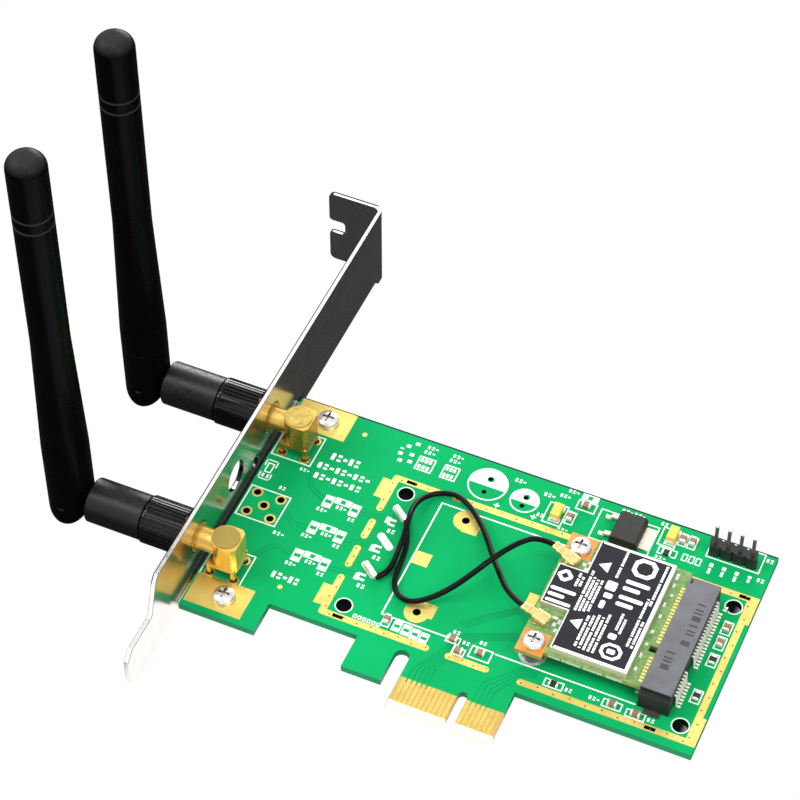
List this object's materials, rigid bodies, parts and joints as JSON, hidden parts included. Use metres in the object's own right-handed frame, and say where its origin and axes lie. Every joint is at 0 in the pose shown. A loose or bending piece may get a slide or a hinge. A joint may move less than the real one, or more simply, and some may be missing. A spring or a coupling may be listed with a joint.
{
  "type": "wireless adapter card",
  "caption": "Wireless network card for a computer expansion slot, with a metal slot bracket, swivel aerials that tilt, and a small radio card in a socket.",
  "frame": {"origin": "middle of the contact tongue's lower edge, half way through the board's thickness", "axes": "+X from the bracket along the board to its far end, +Y away from the slot towards the bracket's screw tab, +Z out of the component face"},
  "size_m": [0.1354, 0.12, 0.1045],
  "materials": {
    "board_green": "glossy solder mask",
    "card_green": "glossy solder mask",
    "gold": "gold plated",
    "bracket_steel": "bright nickel plated",
    "screw_steel": "plated",
    "tinned": "tinned",
    "aerial_black": "fine matte",
    "insulator_white": "smooth",
    "bare_copper": "bare copper",
    "label_dark": "printed film",
    "lead_black": "glossy jacket",
    "socket_grey": "moulded",
    "package_black": "moulded",
    "tantalum_yellow": "moulded",
    "ceramic_tan": "fired ceramic"
  },
  "bodies": {
    "card": {"aerial_lead_far": "lead_black", "aerial_lead_near": "lead_black", "bracket": "bracket_steel", "bracket_screws": "screw_steel", "capacitor_bodies": "ceramic_tan", "capacitor_ends": "tinned", "card_board": "card_green", "card_contacts": "gold", "card_label": "label_dark", "card_receptacles": "gold", "card_screw_pads": "bare_copper", "card_screws": "screw_steel", "card_shield": "tinned", "card_spacers": "tinned", "circuit_board": "board_green", "coupling_nut_far": "aerial_black", "coupling_nut_near": "aerial_black", "edge_contacts": "gold", "header_base": "package_black", "header_pins": "tinned", "jack_contacts": "gold", "jack_insulators": "insulator_white", "jack_lids": "gold", "jack_shell_far": "gold", "jack_shell_near": "gold", "lead_ends": "tinned", "lead_plug_far": "gold", "lead_plug_near": "gold", "nut_inserts": "gold", "plated_pads": "gold", "plug_contacts": "gold", "plug_insulators": "insulator_white", "plug_sleeve_far": "gold", "plug_sleeve_near": "gold", "radio_chip": "package_black", "regulator_body": "package_black", "regulator_metal": "tinned", "resistor_bodies": "package_black", "resistor_ends": "tinned", "socket_anchors": "tinned", "socket_contacts": "tinned", "socket_housing": "socket_grey", "tantalum_bodies": "tantalum_yellow", "tantalum_terminals": "tinned", "tinned_pads": "tinned"},
    "base_near": {"aerial_barrel_near": "aerial_black"},
    "rod_near": {"aerial_fork_near": "aerial_black", "aerial_sheath_near": "aerial_black", "aerial_element_near": "gold", "hinge_pin_near": "screw_steel"},
    "base_far": {"aerial_barrel_far": "aerial_black"},
    "rod_far": {"aerial_fork_far": "aerial_black", "aerial_sheath_far": "aerial_black", "aerial_element_far": "gold", "hinge_pin_far": "screw_steel"}
  },
  "joints": [
    {"name": "swivel_near", "type": "hinge", "parent": "card", "child": "base_near", "pos_m": [-0.07235, 0.017, 0.0073], "axis": [1, 0, 0], "range_deg": [-5, 185]},
    {"name": "tilt_near", "type": "hinge", "parent": "base_near", "child": "rod_near", "pos_m": [-0.08505, 0.017, 0.0073], "axis": [0, -1, 0], "range_deg": [0, 90]},
    {"name": "swivel_far", "type": "hinge", "parent": "card", "child": "base_far", "pos_m": [-0.07235, 0.0498, 0.0073], "axis": [-1, 0, 0], "range_deg": [-5, 185]},
    {"name": "tilt_far", "type": "hinge", "parent": "base_far", "child": "rod_far", "pos_m": [-0.08505, 0.0498, 0.0073], "axis": [0, -1, 0], "range_deg": [0, 90]}
  ]
}
